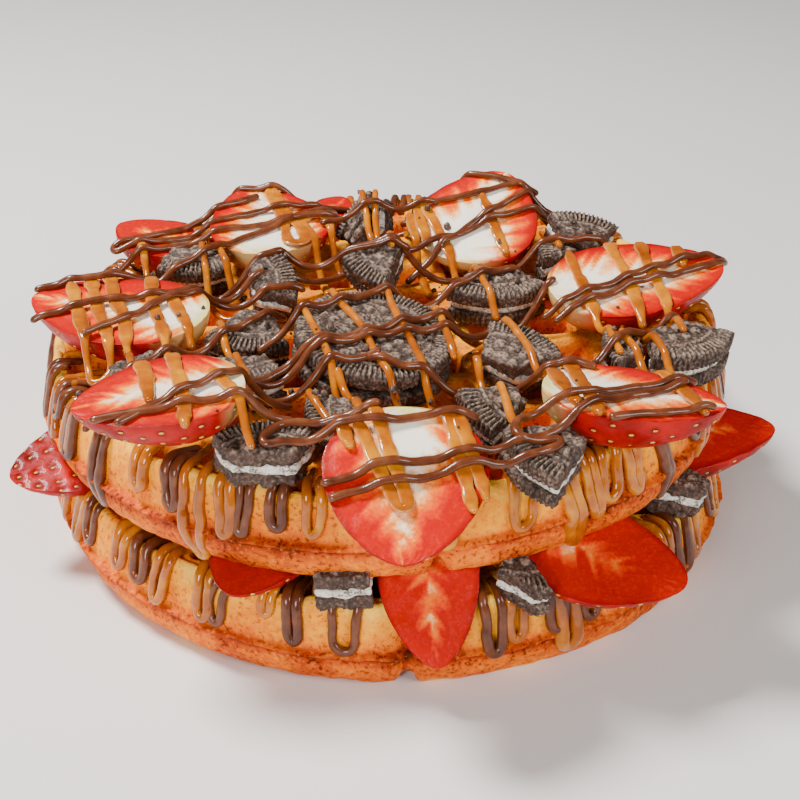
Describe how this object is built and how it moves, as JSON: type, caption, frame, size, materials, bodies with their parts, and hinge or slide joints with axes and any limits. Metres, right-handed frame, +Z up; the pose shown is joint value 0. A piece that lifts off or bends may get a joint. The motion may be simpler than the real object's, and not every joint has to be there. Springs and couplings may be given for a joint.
{
  "type": "stacked waffles with toppings",
  "caption": "Round waffles stacked on sliced strawberries and broken sandwich cookies, with more on top and chocolate and caramel sauce drizzled over.",
  "frame": {"origin": "middle of the box round the whole stack, on the plane it rests on", "axes": "+Z up through the stack; the picture's camera looks along +Y, with +X to its right"},
  "size_m": [0.2176, 0.2299, 0.0832],
  "materials": {
    "waffle_crust": "matte baked crust",
    "strawberry_flesh": "moist, glossy",
    "cookie_wafer": "matte, crumbly"
  },
  "bodies": {
    "root": {"waffle_bottom": "waffle_crust", "waffle_top": "waffle_crust", "cookie_whole": "cookie_wafer", "cookie_top_1": "cookie_wafer", "cookie_top_2": "cookie_wafer", "cookie_top_3": "cookie_wafer", "cookie_top_4": "cookie_wafer", "cookie_top_5": "cookie_wafer", "cookie_top_6": "cookie_wafer", "cookie_top_7": "cookie_wafer", "cookie_top_8": "cookie_wafer", "cookie_top_9": "cookie_wafer", "cookie_top_10": "cookie_wafer", "cookie_top_11": "cookie_wafer", "cookie_top_12": "cookie_wafer", "cookie_top_13": "cookie_wafer", "cookie_top_14": "cookie_wafer", "cookie_top_15": "cookie_wafer", "cookie_top_16": "cookie_wafer", "cookie_top_17": "cookie_wafer", "strawberry_top_1": "strawberry_flesh", "strawberry_top_2": "strawberry_flesh", "strawberry_top_3": "strawberry_flesh", "strawberry_top_4": "strawberry_flesh", "strawberry_top_5": "strawberry_flesh", "strawberry_top_6": "strawberry_flesh", "strawberry_top_7": "strawberry_flesh", "strawberry_top_8": "strawberry_flesh", "strawberry_top_9": "strawberry_flesh", "strawberry_mid_1": "strawberry_flesh", "strawberry_mid_2": "strawberry_flesh", "strawberry_mid_3": "strawberry_flesh", "strawberry_mid_4": "strawberry_flesh", "strawberry_mid_5": "strawberry_flesh", "strawberry_mid_6": "strawberry_flesh", "strawberry_mid_7": "strawberry_flesh", "strawberry_mid_8": "strawberry_flesh", "cookie_mid_1": "cookie_wafer", "cookie_mid_2": "cookie_wafer", "cookie_mid_3": "cookie_wafer", "cookie_mid_4": "cookie_wafer", "cookie_mid_5": "cookie_wafer", "cookie_mid_6": "cookie_wafer"}
  },
  "joints": []
}
